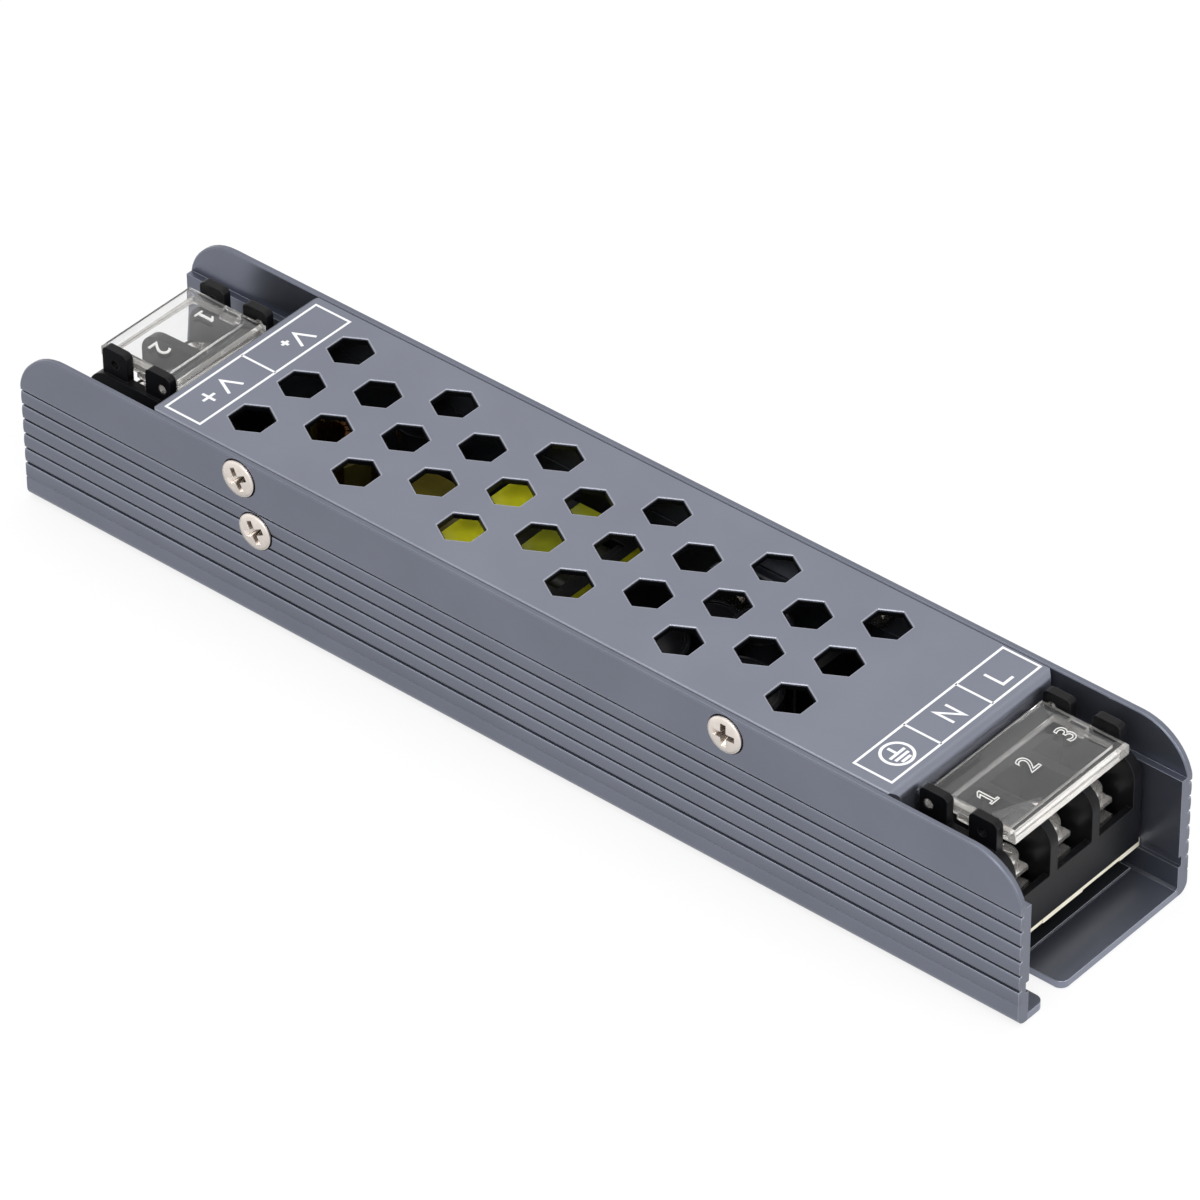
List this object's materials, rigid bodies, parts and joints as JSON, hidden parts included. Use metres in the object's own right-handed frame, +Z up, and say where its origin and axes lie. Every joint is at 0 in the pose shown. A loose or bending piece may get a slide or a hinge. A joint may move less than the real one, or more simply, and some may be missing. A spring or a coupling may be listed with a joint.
{
  "type": "led power supply",
  "caption": "Slim enclosed LED power supply: ribbed metal channel with a vented cover, screw terminals under clear flip lids at both ends.",
  "frame": {"origin": "middle of the floor's underside", "axes": "+X along the length to the three-pole input end, +Y across, +Z up"},
  "size_m": [0.2, 0.041, 0.03],
  "materials": {
    "body_metal": "matt blue-grey anodised extrusion",
    "cover_metal": "matt blue-grey sheet",
    "nickel": "bright nickel plating",
    "sheet": "black film",
    "board": "dark solder mask with pale cream edges",
    "block": "black moulded",
    "lid": "clear moulded",
    "ferrite": "dark sintered",
    "moulding": "black moulded",
    "dark_tape": "dark insulating tape",
    "yellow_tape": "yellow insulating tape",
    "olive_tape": "olive-yellow insulating tape",
    "sleeve": "black shrink sleeve",
    "grey_case": "dark grey case",
    "blue_coating": "dipped coating",
    "green_coating": "dipped coating",
    "copper": "enamelled copper wire",
    "ring_yellow": "coated powder core",
    "pad_grey": "silicone pad",
    "bar_steel": "zinc-plated strip",
    "resistor_tan": "lacquered body"
  },
  "bodies": {
    "housing": {"base_channel": "body_metal", "top_cover": "cover_metal", "cover_screws": "nickel", "clamp_screws": "nickel", "insulating_sheet": "sheet", "circuit_board": "board", "input_block_body": "block", "output_block_body": "block", "input_terminal_plates": "nickel", "output_terminal_plates": "nickel", "transformer_core": "ferrite", "transformer_bobbin": "moulding", "transformer_winding": "dark_tape", "transformer_yoke_tape": "yellow_tape", "transformer_middle_tape": "olive_tape", "bulk_capacitors": "sleeve", "filter_capacitors": "sleeve", "output_capacitors": "sleeve", "film_capacitor": "grey_case", "safety_capacitor": "blue_coating", "choke_core": "ferrite", "choke_winding": "copper", "output_inductor_core": "ring_yellow", "output_inductor_winding": "copper", "insulating_pads": "pad_grey", "output_rectifier": "moulding", "switching_transistor": "moulding", "clamp_bars": "bar_steel", "bridge_rectifier": "moulding", "fuse": "moulding", "varistor": "blue_coating", "thermistor": "green_coating", "controller_chip": "moulding", "optocoupler": "moulding", "drive_transformer": "olive_tape", "resistors": "resistor_tan"},
    "input_terminal_1": {"input_screw_1": "nickel", "input_washer_1": "nickel"},
    "input_terminal_2": {"input_screw_2": "nickel", "input_washer_2": "nickel"},
    "input_terminal_3": {"input_screw_3": "nickel", "input_washer_3": "nickel"},
    "output_terminal_1": {"output_screw_1": "nickel", "output_washer_1": "nickel"},
    "output_terminal_2": {"output_screw_2": "nickel", "output_washer_2": "nickel"},
    "input_cover_lid": {"input_lid": "lid"},
    "output_cover_lid": {"output_lid": "lid"}
  },
  "joints": [
    {"name": "input_lid_hinge", "type": "hinge", "parent": "housing", "child": "input_cover_lid", "pos_m": [0.078, 0.0008, 0.0272], "axis": [0, -1, 0], "range_deg": [0, 100]},
    {"name": "output_lid_hinge", "type": "hinge", "parent": "housing", "child": "output_cover_lid", "pos_m": [-0.0771, 0, 0.0272], "axis": [0, 1, 0], "range_deg": [0, 100]},
    {"name": "input_terminal_1_clamp", "type": "slide", "parent": "housing", "child": "input_terminal_1", "axis": [0, 0, 1], "range_m": [-0.0019, 0]},
    {"name": "input_terminal_2_clamp", "type": "slide", "parent": "housing", "child": "input_terminal_2", "axis": [0, 0, 1], "range_m": [-0.0019, 0]},
    {"name": "input_terminal_3_clamp", "type": "slide", "parent": "housing", "child": "input_terminal_3", "axis": [0, 0, 1], "range_m": [-0.0019, 0]},
    {"name": "output_terminal_1_clamp", "type": "slide", "parent": "housing", "child": "output_terminal_1", "axis": [0, 0, 1], "range_m": [-0.0019, 0]},
    {"name": "output_terminal_2_clamp", "type": "slide", "parent": "housing", "child": "output_terminal_2", "axis": [0, 0, 1], "range_m": [-0.0019, 0]}
  ]
}
